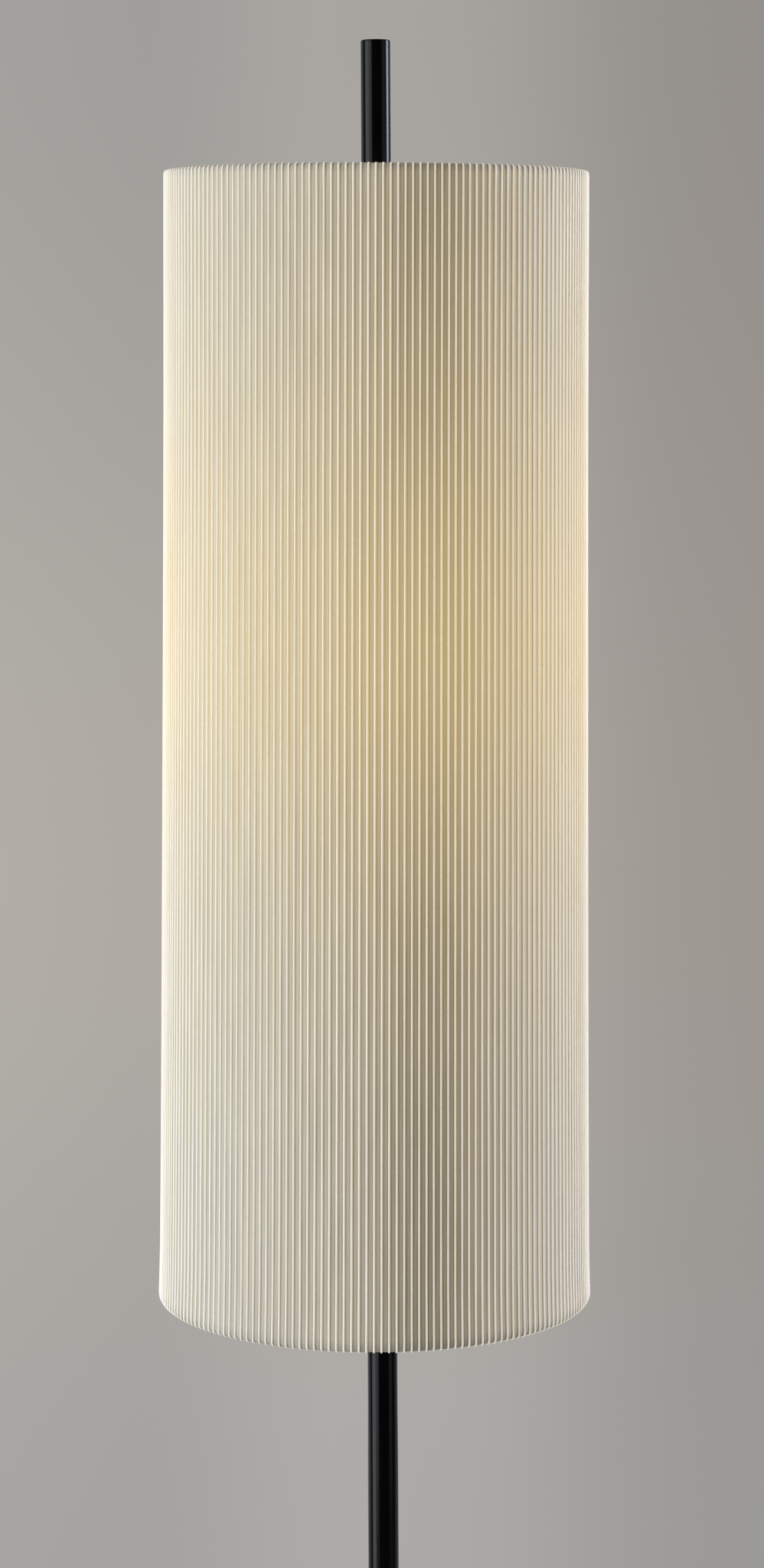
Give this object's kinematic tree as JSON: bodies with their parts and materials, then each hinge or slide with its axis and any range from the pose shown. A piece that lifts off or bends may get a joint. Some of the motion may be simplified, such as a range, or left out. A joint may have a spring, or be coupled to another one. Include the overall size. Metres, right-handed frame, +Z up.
{
  "type": "floor lamp",
  "caption": "Floor lamp: a tall cylinder of finely pleated paper on a slim round pole, with a closed finial tube above it, bulbs on a bracket inside and a weighted round base.",
  "frame": {"origin": "centre of the base on the floor, on the pole's axis", "axes": "+Z up along the pole; the front, as pictured, faces -Y; +X is to the right seen from the front"},
  "size_m": [0.28, 0.28, 1.575],
  "materials": {
    "base_felt": "felt",
    "weight_iron": "as cast",
    "black_coat": "satin black powder coat",
    "black_rubber": "matte",
    "zinc_steel": "zinc plated",
    "threaded_steel": "yellow zinc plated",
    "lead_cover": "matte",
    "splice_plastic": "matte",
    "holder_enamel": "satin black enamel",
    "block_plastic": "moulded, semi-gloss",
    "knob_plastic": "moulded, semi-gloss",
    "contact_brass": "rolled",
    "sleeve_fibre": "fibre board",
    "bulb_frost": "frosted",
    "bulb_nickel": "rolled",
    "bulb_vitrite": "glassy black",
    "bulb_solder": "tinned",
    "pleat_paper": "pleated, matte",
    "liner_film": "translucent, matte",
    "frame_wire": "white enamel"
  },
  "bodies": {
    "stand": {"felt_pad": "base_felt", "base_weight": "weight_iron", "base_cover": "black_coat", "cord_bushing": "black_rubber", "base_nipple": "threaded_steel", "base_washer": "zinc_steel", "base_nut": "zinc_steel", "pole_lower": "black_coat", "pole_middle": "black_coat", "pole_riser": "black_coat", "pole_upper": "black_coat", "pole_plugs": "zinc_steel", "joint_nipples": "threaded_steel", "bracket_nipple": "threaded_steel", "finial_stud": "threaded_steel", "bulb_bracket": "black_coat", "lampholder_leads": "lead_cover", "lead_splices": "splice_plastic", "wire_grommets": "black_rubber", "holder_nipples": "threaded_steel", "holder_nuts": "zinc_steel", "front_holder_cap": "holder_enamel", "front_holder_shell": "holder_enamel", "front_switch_block": "block_plastic", "front_screw_shell": "contact_brass", "front_insulating_sleeve": "sleeve_fibre", "front_contact": "contact_brass", "rear_holder_cap": "holder_enamel", "rear_holder_shell": "holder_enamel", "rear_switch_block": "block_plastic", "rear_screw_shell": "contact_brass", "rear_insulating_sleeve": "sleeve_fibre", "rear_contact": "contact_brass"},
    "front_knob": {"front_switch_knob": "knob_plastic"},
    "rear_knob": {"rear_switch_knob": "knob_plastic"},
    "front_bulb": {"front_bulb_glass": "bulb_frost", "front_bulb_cap": "bulb_nickel", "front_bulb_foot": "bulb_vitrite", "front_bulb_tip": "bulb_solder"},
    "rear_bulb": {"rear_bulb_glass": "bulb_frost", "rear_bulb_cap": "bulb_nickel", "rear_bulb_foot": "bulb_vitrite", "rear_bulb_tip": "bulb_solder"},
    "shade": {"shade_pleats": "pleat_paper", "shade_liner": "liner_film", "top_ring": "frame_wire", "bottom_ring": "frame_wire", "spider": "frame_wire"},
    "finial_seat": {"finial_washer": "black_coat"},
    "finial": {"finial_plug": "zinc_steel", "finial_tube": "black_coat", "finial_cap": "black_coat"}
  },
  "joints": [
    {"name": "shade_lift", "type": "slide", "parent": "stand", "child": "shade", "axis": [0, 0, 1], "range_m": [0, 0.8]},
    {"name": "finial_rise", "type": "slide", "parent": "shade", "child": "finial_seat", "axis": [0, 0, 1], "range_m": [0, 0.0075]},
    {"name": "finial_turn", "type": "hinge", "parent": "finial_seat", "child": "finial", "pos_m": [0, 0, 1.48], "axis": [0, 0, 1], "range_deg": [0, 2880]},
    {"name": "front_bulb_out", "type": "slide", "parent": "stand", "child": "front_bulb", "axis": [0, 0, 1], "range_m": [0, 0.03]},
    {"name": "rear_bulb_out", "type": "slide", "parent": "stand", "child": "rear_bulb", "axis": [0, 0, 1], "range_m": [0, 0.03]},
    {"name": "front_knob_turn", "type": "hinge", "parent": "stand", "child": "front_knob", "pos_m": [0.02043, -0.04009, 1.11475], "axis": [0.891, 0.454, 0], "continuous": true},
    {"name": "rear_knob_turn", "type": "hinge", "parent": "stand", "child": "rear_knob", "pos_m": [-0.02043, 0.04009, 1.11475], "axis": [-0.891, -0.454, 0], "continuous": true}
  ],
  "couplings": [
    {"joint": "finial_turn", "follows": "finial_rise", "rad_per_m": 6679}
  ]
}
